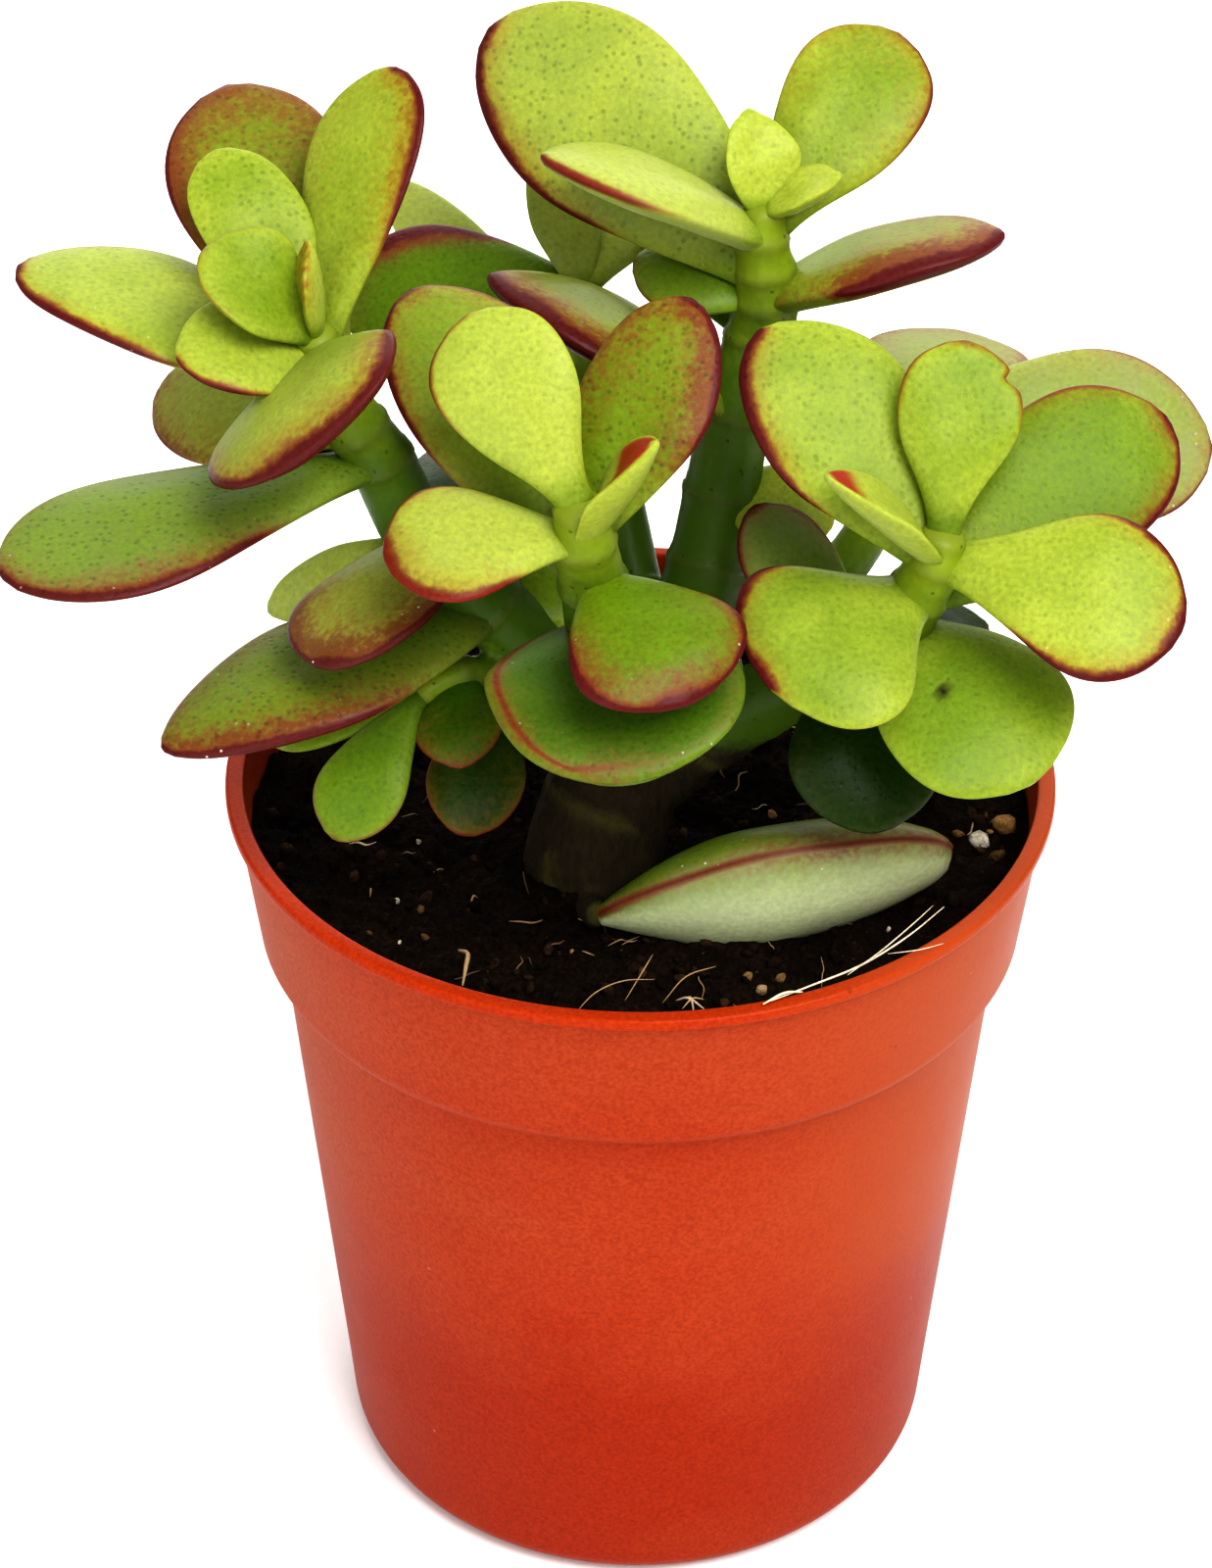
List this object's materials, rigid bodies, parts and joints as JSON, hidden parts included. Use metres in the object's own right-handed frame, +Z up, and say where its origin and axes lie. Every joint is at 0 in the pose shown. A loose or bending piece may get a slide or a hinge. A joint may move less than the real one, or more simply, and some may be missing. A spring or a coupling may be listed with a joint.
{
  "type": "potted jade plant",
  "caption": "Young jade plant with fleshy red-edged leaves on short branching stems, growing in soil in a round tapered plastic nursery pot with a rolled lip.",
  "frame": {"origin": "centre of the pot's flat base, on the surface that the pot stands on", "axes": "+Z up along the pot's axis, -Y towards the front, from which the plant is mostly seen, +X to the right"},
  "size_m": [0.1239, 0.09, 0.1671],
  "materials": {
    "pot_plastic": "satin terracotta-orange moulded plastic",
    "potting_soil": "crumbly dark potting soil",
    "stem_bark": "thin smooth succulent bark, green at the tips",
    "leaf_young": "waxy yellow-green young leaf",
    "leaf_grown": "waxy green leaf with a red margin",
    "leaf_old": "waxy dark green leaf with a maroon flush"
  },
  "bodies": {
    "root": {"pot": "pot_plastic", "soil": "potting_soil", "stems": "stem_bark", "leaf_left_1": "leaf_old", "leaf_left_2": "leaf_grown", "leaf_left_3": "leaf_old", "leaf_left_4": "leaf_old", "leaf_left_5": "leaf_grown", "leaf_left_6": "leaf_young", "leaf_left_7": "leaf_young", "leaf_left_8": "leaf_young", "leaf_left_9": "leaf_young", "leaf_left_10": "leaf_young", "leaf_left_11": "leaf_grown", "leaf_left_12": "leaf_old", "leaf_left_13": "leaf_old", "leaf_front_1": "leaf_old", "leaf_front_2": "leaf_grown", "leaf_front_3": "leaf_young", "leaf_front_4": "leaf_young", "leaf_front_5": "leaf_grown", "leaf_front_6": "leaf_old", "leaf_front_7": "leaf_young", "leaf_top_1": "leaf_old", "leaf_top_2": "leaf_old", "leaf_top_3": "leaf_grown", "leaf_top_4": "leaf_grown", "leaf_top_5": "leaf_grown", "leaf_top_6": "leaf_young", "leaf_top_7": "leaf_old", "leaf_top_8": "leaf_young", "leaf_top_9": "leaf_young", "leaf_top_10": "leaf_old", "leaf_top_11": "leaf_grown", "leaf_right_1": "leaf_grown", "leaf_right_2": "leaf_grown", "leaf_right_3": "leaf_young", "leaf_right_4": "leaf_grown", "leaf_right_5": "leaf_young", "leaf_right_6": "leaf_grown", "leaf_right_7": "leaf_old", "leaf_right_8": "leaf_old", "leaf_right_9": "leaf_young", "leaf_right_10": "leaf_old", "leaf_back_1": "leaf_old", "leaf_back_2": "leaf_old", "leaf_back_3": "leaf_old", "leaf_back_4": "leaf_old", "leaf_rear_1": "leaf_old", "leaf_rear_2": "leaf_young", "leaf_rear_3": "leaf_young", "leaf_rear_4": "leaf_young", "leaf_low_1": "leaf_old", "leaf_low_2": "leaf_old", "leaf_low_3": "leaf_young", "leaf_low_4": "leaf_grown", "leaf_low_5": "leaf_old", "leaf_low_6": "leaf_old", "leaf_low_7": "leaf_old", "leaf_ground_1": "leaf_old"}
  },
  "joints": []
}
